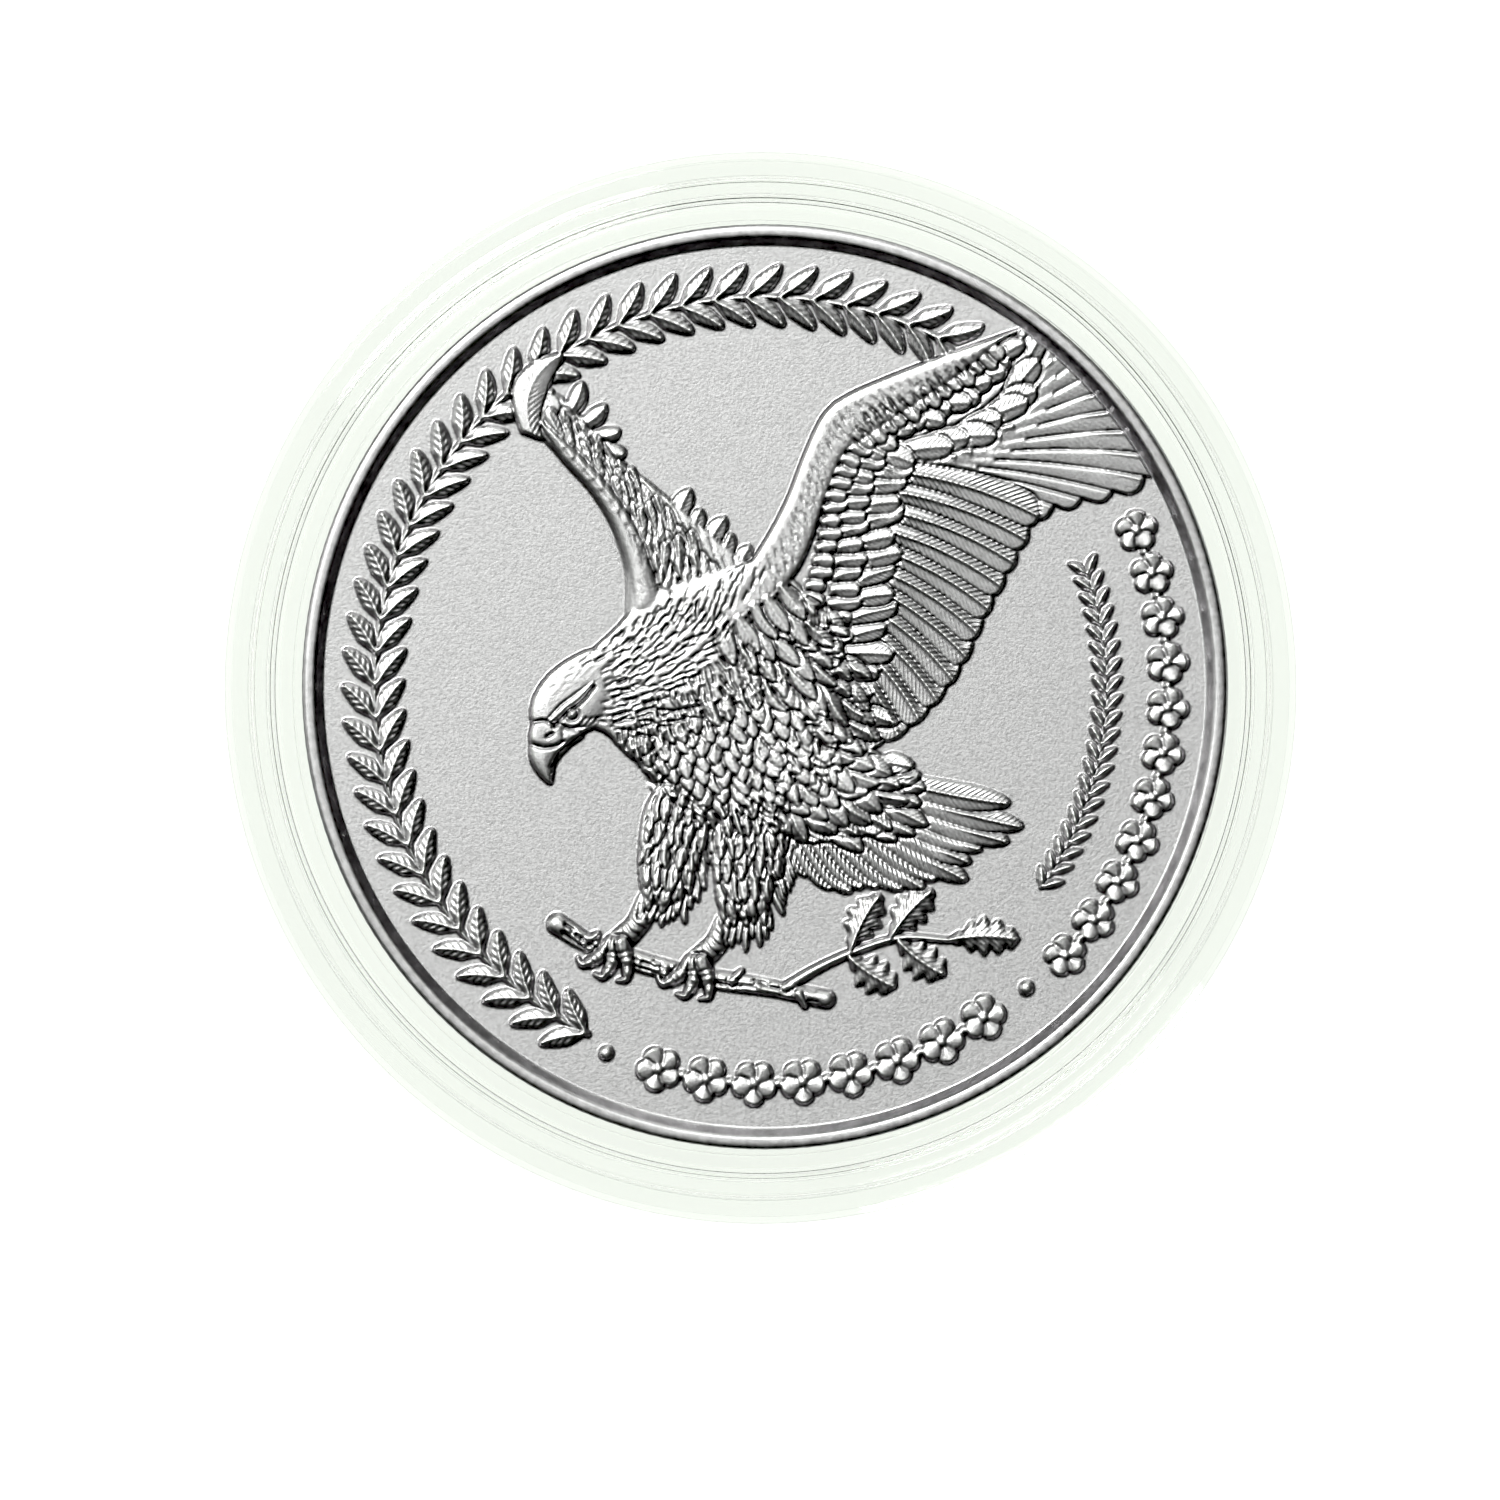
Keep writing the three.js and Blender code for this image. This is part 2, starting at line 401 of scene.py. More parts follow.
def plumage(face, rng):
    """The body's feathers: scales from breast to tail, ragged ones at the shoulder, strokes on the neck."""
    mass(face, BODY, 0.28, 2.0, floor=0.15)
    hips = region((-0.6, -2.4), (1.6, -1.4), (3.6, -2.2), (5.7, -3.6), (5.4, -5.2), (3.4, -6.2), (1.0, -6.2),
                  (-0.6, -5.0))
    dress(face, hips, -42, lambda x, y: -38 - 6 * (1.5 - x), 1.5, 0.95, rng, step=0.5, wander=10, inset=0.0,
          plateau=0.12, camber=0.045, shaft=0.025, barb=0.045, pitch=0.22, split=0.35, point=1.7, groove=0.1)
    breast = region((-5.4, -1.4), (-3.4, -0.6), (-0.8, 0.4), (1.6, 0.0), (3.2, -1.8), (2.4, -3.8),
                    (0.4, -4.8), (-2.2, -4.9), (-4.4, -3.9), (-5.9, -2.7))
    dress(face, breast, -68, lambda x, y: -66 + 3 * x, 1.15, 0.78, rng, step=0.48, wander=10, inset=0.05,
          camber=0.04, shaft=0.025, barb=0.035, pitch=0.2, split=0.35, point=1.7, groove=0.1)
    upper = region((-6.6, -2.1), (-5.2, -0.6), (-3.2, 1.0), (-0.6, 2.2), (1.0, 0.4), (-1.2, -1.4),
                   (-3.4, -2.6), (-5.2, -3.4))
    etch(face, upper, -60, lambda x, y: -58 + 4 * x, 0.45, 0.27, rng, depth=0.1, wander=12, inset=0.1)
    under = region((-5.9, -3.0), (-4.2, -4.1), (-2.0, -5.1), (1.0, -5.2), (0.8, -6.2), (-1.4, -5.8),
                   (-3.0, -5.8), (-4.6, -4.6))
    etch(face, under, -40, lambda x, y: -38, 0.6, 0.24, rng, depth=0.12, wander=14, inset=0.02)
    shoulder = region((-2.2, 2.4), (-1.4, 3.4), (0.6, 4.4), (1.8, 4.4), (2.8, 2.4), (3.6, 0.2), (4.2, -1.4),
                      (3.2, -2.4), (1.8, -1.4), (0.6, 0.0), (-1.0, 1.6))
    dress(face, shoulder, -58, lambda x, y: -52 + 4 * x, 1.9, 0.85, rng, step=0.42, wander=10, inset=0.0,
          plateau=0.12, camber=0.07, shaft=0.03, barb=0.045, pitch=0.26, split=0.45, point=1.7, groove=0.13)
    root = region((-4.6, 3.6), (-2.4, 4.6), (-0.6, 5.5), (0.0, 4.8), (-1.4, 3.2), (-3.0, 2.2))
    mass(face, root, 0.3, 1.2, floor=0.24)
    etch(face, root, 60, lambda x, y: 70, 0.5, 0.3, rng, depth=0.06, inset=0.1)
    neck = region((-7.6, 1.3), (-6.3, 2.4), (-4.6, 3.6), (-2.6, 3.4), (-1.2, 2.4), (-2.6, 0.8), (-4.2, -0.6),
                  (-6.2, -1.6), (-7.0, -0.8), (-7.3, 0.2))
    etch(face, neck, 30, lambda x, y: 28 + 11 * (y - 0.4), 0.5, 0.25, rng, depth=0.09, radius=0.04, wander=9)
    throat = region((-7.6, -1.4), (-6.4, -1.2), (-4.2, -0.8), (-2.6, -0.2), (-3.8, -1.6), (-5.6, -2.2),
                    (-6.8, -2.0))
    etch(face, throat, 8, lambda x, y: 10 + 8 * (y + 1), 0.9, 0.24, rng, depth=0.12, wander=7, inset=0.03)


def thigh(face, outline, lean, hind, hem, rng):
    """A feathered leg: fine strokes from the body down, with ragged tufts along its back and its hem."""
    outline = curve_through(outline, closed=True)
    looks = {"camber": 0.03, "shaft": 0.0, "barb": 0.0, "split": 0.3, "point": 1.3, "groove": 0.08}
    fan(face, *hind, 9, 0.42, (0.13, 0.1), ragged=0.2, rng=rng, **looks)
    fan(face, *hem, 9, 0.42, (0.15, 0.1), ragged=0.22, rng=rng, **looks)
    mass(face, outline, 0.26, 0.9, floor=0.13, over=True)
    dress(face, outline, lean, lambda x, y: lean, 1.3, 0.5, rng, step=0.75, wander=8, inset=0.05,
          camber=0.04, shaft=0.0, barb=0.0, split=0.35, point=1.4, groove=0.08)
    etch(face, outline, lean, lambda x, y: lean + 4 * math.sin(2 * y), 0.7, 0.24, rng, depth=0.07,
         wander=10, inset=0.06)


def legs(face, rng):
    """Both feet first, and the feathered thighs over their shanks."""
    foot(face, (-5.0, -9.4), (-6.5, -11.3), (-40, -8, 22))
    foot(face, (-1.5, -10.2), (-3.0, -12.1), (-38, -4, 26))
    thigh(face, [(-3.9, -3.9), (-5.1, -5.0), (-5.5, -6.8), (-5.5, -8.4), (-5.2, -9.3), (-4.4, -9.6),
                 (-3.4, -9.0), (-2.7, -7.4), (-2.0, -5.2)], -98,
          [[(-2.5, -5.6), (-2.9, -7.2), (-3.5, -8.6)], [(-2.1, -7.4), (-2.7, -8.8), (-3.3, -10.0)]],
          [[(-3.6, -8.6), (-4.4, -9.0), (-5.1, -8.8)], [(-3.4, -10.1), (-4.6, -10.4), (-5.6, -10.0)]], rng)
    thigh(face, [(-1.6, -4.4), (-2.2, -6.4), (-2.2, -8.6), (-1.9, -9.8), (-1.0, -10.2), (0.0, -9.8),
                 (0.6, -8.4), (0.9, -6.6), (1.2, -4.4)], -86,
          [[(0.5, -5.2), (0.4, -6.8), (0.1, -8.6)], [(1.5, -7.0), (1.2, -8.7), (0.8, -10.2)]],
          [[(0.0, -9.2), (-0.9, -9.6), (-1.7, -9.2)], [(0.5, -10.8), (-0.8, -11.3), (-2.1, -10.7)]], rng)


def foot(face, ankle, grip, spread):
    """A scaly shank, three toes over the branch and their hooked claws."""
    ankle = np.array(ankle)
    grip = np.array(grip)
    shank = curve_through([ankle, (ankle + grip) / 2 + (0.12, -0.1), grip])
    ridge(face, shank, [0.6, 0.5, 0.55], 0.24, groove=0.05)
    for ring in np.linspace(0.15, 0.9, 6):
        centre, along = along_path(shank, ring)
        side = turned(along, 90) * 0.42
        engrave(face, curve_through([centre - side, centre + along * 0.12, centre + side]), 0.045, 0.07)
    for k, lean in enumerate(spread):
        out = turned((0, -1), lean)
        knuckle = grip + out * 0.7 + (0.18 * (k - 1), 0.1)
        end = knuckle + turned(out, -18) * 0.62
        toe = curve_through([grip + (0.25 * (k - 1), 0.1), knuckle, end])
        ridge(face, toe, [0.3, 0.34, 0.26], 0.3, groove=0.1)
        for ring in (0.35, 0.55, 0.75):
            centre, along = along_path(toe, ring)
            side = turned(along, 90) * 0.24
            engrave(face, [centre - side, centre + side], 0.04, 0.06)
        claw = curve_through([end, end + turned(out, -34) * 0.36, end + turned(out, -70) * 0.62])
        ridge(face, claw, [0.22, 0.15, 0.04], 0.26, groove=0.05)


def head(face, rng):
    """The smooth crown, brow, eye and the hooked beak."""
    crown = region((-10.25, -1.0), (-9.9, 0.0), (-9.0, 0.95), (-7.6, 1.65), (-6.5, 1.3), (-6.5, -0.3),
                   (-7.2, -1.5), (-8.3, -2.2), (-9.2, -2.3), (-10.05, -1.9))
    mass(face, crown, 0.32, 1.5, floor=0.2)
    nape = region((-8.4, 1.0), (-7.6, 1.6), (-6.3, 2.5), (-5.4, 1.6), (-5.8, -0.6), (-6.6, -1.8),
                  (-7.5, -1.5), (-7.2, -0.6), (-7.2, 0.4), (-7.8, 0.7))
    etch(face, nape, 25, lambda x, y: 20 + 14 * y, 0.45, 0.26, rng, depth=0.055, wander=8, inset=0.04)
    fuzz = region((-9.4, 0.0), (-8.7, 0.8), (-7.8, 1.2), (-7.4, 0.4), (-8.6, -0.4), (-9.4, -0.6))
    etch(face, fuzz, 40, lambda x, y: 40, 0.3, 0.3, rng, depth=0.016, inset=0.05)
    beak = region((-10.1, -1.75), (-10.3, -2.5), (-10.22, -3.3), (-9.8, -3.95), (-9.4, -4.25), (-9.3, -3.9),
                  (-9.15, -3.3), (-8.6, -2.65), (-7.95, -2.1), (-8.7, -1.7), (-9.5, -1.5))
    mass(face, beak, 0.3, 0.75, floor=0.15, over=True)
    cere = region((-10.12, -1.55), (-10.3, -2.2), (-10.05, -2.55), (-9.3, -2.65), (-8.8, -2.4), (-8.95, -1.7),
                  (-9.6, -1.45))
    mass(face, cere, 0.32, 0.5, floor=0.22, over=True)
    engrave(face, curve_through([(-10.3, -2.5), (-9.7, -2.7), (-9.1, -2.6), (-8.8, -2.4)]), 0.05, 0.1)
    engrave(face, curve_through([(-10.15, -1.55), (-9.6, -1.5), (-9.2, -1.65)]), 0.05, 0.08)
    engrave(face, curve_through([(-9.35, -3.5), (-9.0, -2.9), (-8.5, -2.45), (-7.8, -1.95)]), 0.06, 0.16)
    engrave(face, [(-9.55, -2.2), (-9.3, -2.05)], 0.07, 0.13)
    brow = curve_through([(-9.4, -1.5), (-8.8, -0.95), (-8.1, -0.4), (-7.5, 0.2)])
    ridge(face, brow, [0.12, 0.2, 0.18, 0.06], 0.34, groove=0.07)
    engrave(face, curve_through([(-9.25, -1.75), (-8.65, -1.14), (-8.0, -0.62), (-7.5, 0.0)]), 0.07, 0.17)
    ridge(face, [EYE, EYE + 0.01], [0.25, 0.25], 0.34, groove=0.14)
    ridge(face, [EYE, EYE + 0.01], [0.11, 0.11], 0.36, groove=0.1)
    for reach in (0.0, 0.25, 0.5):
        engrave(face, curve_through([(-8.8 + reach, -1.8), (-8.2 + reach, -1.75), (-7.8 + reach, -1.35)]),
                0.04, 0.06)


def branch(face, rng):
    """A knotty stem with strokes of bark, and a twig with five lobed leaves."""
    stem = curve_through([(-9.1, -10.4), (-7.6, -11.3), (-5.2, -12.15), (-2.6, -12.75), (0.2, -13.2),
                          (2.7, -13.7)])
    ridge(face, stem, [0.46, 0.4, 0.44, 0.4, 0.42, 0.34, 0.4], 0.24)
    for share, lean in ((0.12, 60), (0.42, -70), (0.66, 58), (0.9, -50)):
        centre, along = along_path(stem, share)
        ridge(face, [centre, centre + turned(along, lean) * 0.6], [0.26, 0.14], 0.24)
    for _ in range(56):
        centre, along = along_path(stem, rng.random() * 0.94)
        centre = centre + turned(along, 90) * rng.uniform(-0.28, 0.28)
        engrave(face, [centre, centre + along * rng.uniform(0.3, 0.8)], 0.045, 0.1)
    twig = curve_through([(0.9, -13.2), (2.4, -12.3), (4.2, -11.5), (6.0, -11.0), (8.0, -11.1)])
    ridge(face, twig, [0.26, 0.2, 0.16, 0.12], 0.2)
    for share, lean, length in ((0.42, 40, 2.9), (0.4, -56, 2.6), (0.66, 34, 2.9), (0.7, -46, 2.7),
                                (0.99, 4, 3.2)):
        root, along = along_path(twig, share)
        direction = turned(along, lean)
        feather(face, root + direction * 0.15, root + direction * length, 1.75, (0.1, 0.08),
                bend=0.05 if lean > 0 else -0.05, camber=0.12, shaft=0.05, barb=0.05, pitch=0.31, split=0.5,
                point=1.7, root_width=0.2, groove=0.08, lobes=0.36)


# --- the borders, which stand where the real coin has lettering

GARLAND_RADIUS = 17.1
SPRIG_RADIUS = 15.0
FOOT_ROW_RADIUS = 17.4
SIDE_ROW_RADIUS = 17.7
DOT_RADIUS = 17.5
WREATH_RADIUS = 13.6
BEADING_RADIUS = 18.3


def on_circle(radius, degrees):
    angle = math.radians(degrees)
    return np.array([math.cos(angle), math.sin(angle)]) * radius


def garland(face, radius, start, stop, length, count):
    """Pairs of laurel leaves along an arc, pointing from start to stop, with berries between them."""
    sense = 1 if stop > start else -1
    stem = [on_circle(radius, a) for a in np.linspace(start, stop, 60)]
    ridge(face, stem, [length * 0.065, length * 0.065], 0.13)
    for i in range(count, -1, -1):
        at = start + (stop - start) * i / count
        root = on_circle(radius, at)
        forward = turned(root / radius, 90 * sense)
        for side in (-1, 1):
            direction = turned(forward, 38 * side)
            feather(face, root, root + direction * length, length * 0.38, (0.11, 0.1), camber=0.065,
                    shaft=0.045, barb=0.035, pitch=0.36, split=0.45, point=1.7, root_width=0.1,
                    bend=-0.05 * side, groove=0.06)
        bead(face, root + forward * length * 0.1, length * 0.08, 0.19)


def bead(face, centre, radius, height):
    """Raises a round dome."""
    centre = np.array(centre)
    window, x, y = around(centre - radius, centre + radius)
    away = np.hypot(x - centre[0], y - centre[1]) / radius
    dome = height * np.sqrt(np.clip(1 - away**2, 0, 1))
    face[window] = np.where(away < 1, np.maximum(face[window], dome), face[window])


def rosettes(face, radius, start, stop, count, tall):
    """A row of small five-petalled flowers with a bead between each two."""
    pitch = (stop - start) / count
    for i in range(count):
        at = start + (i + 0.5) * pitch
        centre = on_circle(radius, at)
        for petal in range(5):
            direction = turned(centre / radius, 72 * petal)
            feather(face, centre, centre + direction * tall * 0.52, tall * 0.46, (0.08, 0.12), camber=0.055,
                    shaft=0.0, barb=0.0, split=0.55, point=2.6, root_width=0.35, groove=0.06)
        bead(face, centre, tall * 0.15, 0.2)
        if i:
            bead(face, on_circle(radius, at - pitch / 2), tall * 0.11, 0.13)


def borders(face):
    """A garland, two rows of flowers with a bead at their ends, and a small inner sprig."""
    garland(face, GARLAND_RADIUS, 243, 64, 2.15, 37)
    garland(face, SPRIG_RADIUS, -36, 19, 1.0, 19)
    rosettes(face, FOOT_ROW_RADIUS, 251, 307, 8, 1.9)
    rosettes(face, SIDE_ROW_RADIUS, -45, 26, 11, 1.75)
    for at in (246.6, 311):
        bead(face, on_circle(DOT_RADIUS, at), 0.33, 0.18)


def settled(face):
    """Softens the raster and presses what is higher than the knee down below the rim."""
    face = softened(face)
    return np.where(face > KNEE, KNEE + (face - KNEE) * ABOVE_KNEE, face)


def front_face():
    """The borders and the bird on its branch, each laid over what came before."""
    rng = np.random.default_rng(11)
    face = np.zeros((RASTER_CELLS, RASTER_CELLS))
    borders(face)
    branch(face, rng)
    far_wing(face, rng)
    near_wing(face, rng)
    tail(face, rng)
    legs(face, rng)
    plumage(face, rng)
    head(face, rng)
    return settled(face)


def back_face():
    """The side that isn't seen: a wreath round a plain star, in a ring of beads."""
    face = np.zeros((RASTER_CELLS, RASTER_CELLS))
    for start, stop in ((-84, 82), (264, 98)):
        garland(face, WREATH_RADIUS, start, stop, 2.6, 20)
    star = np.array([on_circle(7.2 if k % 2 == 0 else 3.0, 90 + 36 * k) for k in range(10)])
    mass(face, star, 0.3, 2.4, floor=0.04)
    for k in range(10):
        engrave(face, [(0, 0), on_circle(6.6 if k % 2 == 0 else 2.7, 90 + 36 * k)], 0.06, -0.04)
    for k in range(72):
        bead(face, on_circle(BEADING_RADIUS, 5 * k), 0.36, 0.14)
    return settled(face)


def painted_shading_map(face):
    """1 in the bottom of grooves, for painted shade, 0 on high lines, for a painted highlight, and 0.5 on
    open ground.
    """
    depth = softened(face, PAINTED_SHADE_REACH) - face
    on_field = 1 - smooth_step(face / FIELD_HEIGHT)
    depth = np.where(depth > 0, depth * (1 - PAINTED_SHADE_CUT_ON_FIELD * on_field), depth)
    return np.clip(0.5 + depth / (2 * PAINTED_SHADE_DEPTH), 0, 1)


# --- meshes

def placed(name, data):
    """A new object in the scene."""
    item = bpy.data.objects.new(name, data)
    bpy.context.scene.collection.objects.link(item)
    return item


def mesh_from(name, points, quads=(), triangles=()):
    """Makes a smooth-shaded mesh object from numpy arrays of corners, in metres."""
    mesh = bpy.data.meshes.new(name)
    quads = np.asarray(quads, np.int32).reshape(-1, 4)
    triangles = np.asarray(triangles, np.int32).reshape(-1, 3)
    corners = np.concatenate([quads.ravel(), triangles.ravel()])
    sizes = np.concatenate([np.full(len(quads), 4), np.full(len(triangles), 3)]).astype(np.int32)
    starts = np.concatenate([[0], np.cumsum(sizes)[:-1]]).astype(np.int32)
    mesh.vertices.add(len(points))
    mesh.vertices.foreach_set("co", np.asarray(points, np.float32).ravel())
    mesh.loops.add(len(corners))
    mesh.loops.foreach_set("vertex_index", corners)
    mesh.polygons.add(len(sizes))
    mesh.polygons.foreach_set("loop_start", starts)
    mesh.update(calc_edges=True)
    mesh.validate()
    mesh.polygons.foreach_set("use_smooth", np.ones(len(mesh.polygons), bool))
    return placed(name, mesh)


def disc_grid(count, radius):
    """A square grid bent into a disc, its outer ring first corner at -45 degrees, and that ring."""
    side = np.linspace(-1, 1, count)
    u, v = np.meshgrid(side, side)
    flat = np.abs(u) >= np.abs(v)
    wide = np.where(flat, u, v)
    safe = np.where(wide == 0, 1, wide)
    ratio = np.where(flat, v, u) / safe
    angle = np.where(flat, ratio * math.pi / 4, math.pi / 2 - ratio * math.pi / 4)
    angle = angle + np.where(wide < 0, math.pi, 0)
    r = np.abs(wide) * radius
    index = np.arange(count * count).reshape(count, count)
    quads = np.stack([index[:-1, :-1], index[:-1, 1:], index[1:, 1:], index[1:, :-1]], -1).reshape(-1, 4)
    ring = np.concatenate([index[:-1, -1], index[-1, :0:-1], index[:0:-1, 0], index[0, :-1]])
    return (r * np.cos(angle)).ravel(), (r * np.sin(angle)).ravel(), quads, ring


def sampled(face, x, y):
    """The raster's height at each point, read between its cells."""
    column = (x + RASTER_REACH) / RASTER_STEP
    row = (y + RASTER_REACH) / RASTER_STEP
    c = np.clip(column.astype(int), 0, RASTER_CELLS - 2)
    r = np.clip(row.astype(int), 0, RASTER_CELLS - 2)
    fc, fr = column - c, row - r
    lower = face[r, c] * (1 - fc) + face[r, c + 1] * fc
    upper = face[r + 1, c] * (1 - fc) + face[r + 1, c + 1] * fc
    return lower * (1 - fr) + upper * fr


def circle(radius, height, angles):
    """Points at some angles round the axis."""
    return np.stack([radius * np.cos(angles), radius * np.sin(angles), np.full(angles.shape, height)], -1)


def bridge(outer, inner):
    """Quads between two rings of the same count; the first runs round the outside."""
    return np.stack([outer, np.roll(outer, -1), np.roll(inner, -1), inner], -1)


FIELD_RADIUS = 19.33
FIELD_FADE = 0.06
STRUCK_RADIUS = FIELD_RADIUS + 0.02
COIN_RADIUS = 20.3
COIN_THICKNESS = 2.98
FIELD_RECESS = 0.38
REEDS = 200
REED_DEPTH = 0.09
COIN_LIFT = 0.01
FRONT_GRID = 701
BACK_GRID = 351

# Share of the way down the coin's edge, and share of the reeds' full depth there.
REED_LEVELS = [(0.14, 0.15), (0.18, 1), (0.5, 1), (0.82, 1), (0.86, 0.15)]

# Radius and depth below the rim's top, from the field's edge out and over to the reeding.
RIM_PROFILE = [
    (19.37, 0.372), (19.42, 0.335), (19.55, 0.2), (19.66, 0.09), (19.72, 0.035), (19.78, 0.008),
    (19.86, 0.0), (20.0, 0.0), (20.1, 0.004), (20.18, 0.018), (20.24, 0.05), (20.28, 0.1),
]


def above_field(face, x, y):
    """The relief's height at each point, let down to the field where that meets the rim."""
    return sampled(face, x, y) * smooth_step((FIELD_RADIUS - np.hypot(x, y)) / FIELD_FADE)


def coin_mesh(front, back, centre, bottom):
    """Both faces, their rims and the reeded edge as one closed mesh."""
    x, y, quads, ring = disc_grid(FRONT_GRID, FIELD_RADIUS)
    z = COIN_THICKNESS - FIELD_RECESS + above_field(front, x, y)
    blocks = [np.stack([x, y, z], -1)]
    faces = [quads]
    total = len(x)
    angles = -math.pi / 4 + np.arange(len(ring)) * 2 * math.pi / len(ring)

    def add_ring(radius, height, angles):
        nonlocal total
        blocks.append(circle(radius, height, angles))
        total += len(angles)
        return np.arange(total - len(angles), total)

    def walk_on(last, rings, angles):
        for radius, height in rings:
            new = add_ring(radius, height, angles)
            faces.append(bridge(last, new)[:, ::-1])
            last = new
        return last

    last = walk_on(ring, [(radius, COIN_THICKNESS - depth) for radius, depth in RIM_PROFILE], angles)
    reeding = REED_DEPTH * (0.5 - 0.5 * np.cos(REEDS * angles)) ** 0.7
    levels = [(COIN_RADIUS - reeding * cut, COIN_THICKNESS * (1 - share)) for share, cut in REED_LEVELS]
    last = walk_on(last, levels, angles)
    half = angles[::2]
    new = add_ring(*RIM_PROFILE[-1], half)
    triangles = np.stack([new, np.roll(last, -1)[::2], last[::2]], -1)
    faces.append(np.stack([new, np.roll(new, -1), np.roll(last, -2)[::2], np.roll(last, -1)[::2]], -1))
    last = walk_on(new, RIM_PROFILE[-2::-1], half)
    x, y, quads, ring = disc_grid(BACK_GRID, FIELD_RADIUS)
    z = FIELD_RECESS - above_field(back, -x, y)
    blocks.append(np.stack([x, y, z], -1))
    faces.append(quads[:, ::-1] + total)
    faces.append(bridge(last, ring + total)[:, ::-1])
    # Each point's share of painted shade (towards 1) and painted highlight (towards 0), for the silver's
    # colour.
    painted_shading = np.full(total + len(x), 0.5)
    painted_shading[:len(blocks[0])] = sampled(painted_shading_map(front), *blocks[0][:, :2].T)
    painted_shading[total:] = sampled(painted_shading_map(back), -x, y)
    points = np.vstack(blocks) + np.array([centre[0], centre[1], bottom])
    piece = mesh_from("silver_coin", points * MM, np.vstack(faces), triangles)
    piece.data.attributes.new("painted_shading", "FLOAT", "POINT").data.foreach_set("value", painted_shading)
    return piece


ARC_SUPPORT = 0.02
ARC_STEP = 11
ROUND_FACETS = 360


def rounded(outline):
    """Points of a closed [radius, height, fillet] outline with its corners rounded, and with a point
    close to each end of each arc, so that flat faces shade flat."""
    points = []
    for i, (r, h, fillet) in enumerate(outline):
        here = np.array([r, h])
        if fillet == 0:
            points.append(here)
            continue
        before = np.array(outline[i - 1][:2]) - here
        after = np.array(outline[(i + 1) % len(outline)][:2]) - here
        before /= np.hypot(*before)
        after /= np.hypot(*after)
        half = math.acos(np.clip(before @ after, -1, 1)) / 2
        setback = fillet / math.tan(half)
        middle = before + after
        middle /= np.hypot(*middle)
        centre = here + middle * fillet / math.sin(half)
        start = here + before * setback - centre
        sweep = math.pi - 2 * half
        sense = 1 if start[0] * (here - centre)[1] - start[1] * (here - centre)[0] > 0 else -1
        steps = max(3, int(math.degrees(sweep) / ARC_STEP))
        points.append(here + before * (setback + ARC_SUPPORT))
        for k in range(steps + 1):
            points.append(centre + turned(start, sense * math.degrees(sweep) * k / steps))
        points.append(here + after * (setback + ARC_SUPPORT))
    return np.array(points)


def lathe(name, outline):
    """Turns an outline that starts and ends on the axis, walked with the solid on its left."""
    profile = rounded(outline)
    inner = profile[1:-1]
    angles = np.arange(ROUND_FACETS) * 2 * math.pi / ROUND_FACETS
    rings = []
    points = [np.array([[0, 0, profile[0][1]], [0, 0, profile[-1][1]]])]
    for i, (radius, height) in enumerate(inner):
        points.append(circle(radius, height, angles))
        rings.append(2 + i * ROUND_FACETS + np.arange(ROUND_FACETS))
    quads = [np.stack([a, np.roll(a, -1), np.roll(b, -1), b], -1) for a, b in zip(rings, rings[1:])]
    first, last = rings[0], rings[-1]
    start_fan = np.stack([np.zeros(ROUND_FACETS, int), np.roll(first, -1), first], -1)
    end_fan = np.stack([np.ones(ROUND_FACETS, int), last, np.roll(last, -1)], -1)
    return mesh_from(name, np.vstack(points) * MM, np.vstack(quads), np.vstack([start_fan, end_fan]))


# --- the clear shells

CAPSULE_RADIUS = 23.5
CAPSULE_HEIGHT = 6.0
WINDOW = 1.1
WINDOW_RECESS = 0.25
STACK_INNER = 21.65
STACK_OUTER = 22.36
FLANGE_STEP = 0.6
FLANGE_OUTER = 23.15
COLLAR_RADIUS = 21.3
SKIRT_RADIUS = 21.35
CHAMBER_RADIUS = 20.5
COLLAR_TOP_GAP = 0.25
PARTING = CAPSULE_HEIGHT / 2
HALF_GAP = 0.012


def shell_outside():
    """One shell's outside from the middle of its window to the parting line, standing at height 0."""
    return [
        (0, WINDOW_RECESS, 0),
        (STACK_INNER - 0.1, WINDOW_RECESS, 0.08),
        (STACK_INNER, 0, 0.06),
        (STACK_OUTER - 0.08, 0, 0.12),
        (STACK_OUTER, FLANGE_STEP, 0.12),
        (FLANGE_OUTER, FLANGE_STEP, 0.12),
        (CAPSULE_RADIUS, FLANGE_STEP + 0.35, 0.2),
        (CAPSULE_RADIUS, PARTING - 0.3, 0.08),
        (CAPSULE_RADIUS - 0.3, PARTING - HALF_GAP, 0.05),
    ]


def base_shell():
    floor = WINDOW_RECESS + WINDOW
    top = CAPSULE_HEIGHT - floor - COLLAR_TOP_GAP
    inside = [
        (COLLAR_RADIUS, PARTING - HALF_GAP, 0.08),
        (COLLAR_RADIUS, top - 0.2, 0.08),
        (COLLAR_RADIUS - 0.2, top, 0.08),
        (CHAMBER_RADIUS, top, 0.1),
        (CHAMBER_RADIUS, floor, 0.08),
        (0, floor, 0),
    ]
    return lathe("clear_base_shell", shell_outside() + inside)


def lid_shell():
    ceiling = CAPSULE_HEIGHT - WINDOW_RECESS - WINDOW
    outside = [(r, CAPSULE_HEIGHT - h, f) for r, h, f in shell_outside()]
    inside = [
        (SKIRT_RADIUS, PARTING + HALF_GAP, 0.06),
        (SKIRT_RADIUS, ceiling, 0.1),
        (0, ceiling, 0),
    ]
    return lathe("clear_lid_shell", (outside + inside)[::-1])


# --- materials

PLASTIC_TINT = (0.962, 0.985, 0.948)
TINT_CHANGE = 0.008
PLASTIC_SHADE = (0.97, 0.98, 0.97)
SILVER = (0.675, 0.65, 0.68)
SILVER_CHANGE = 0.1
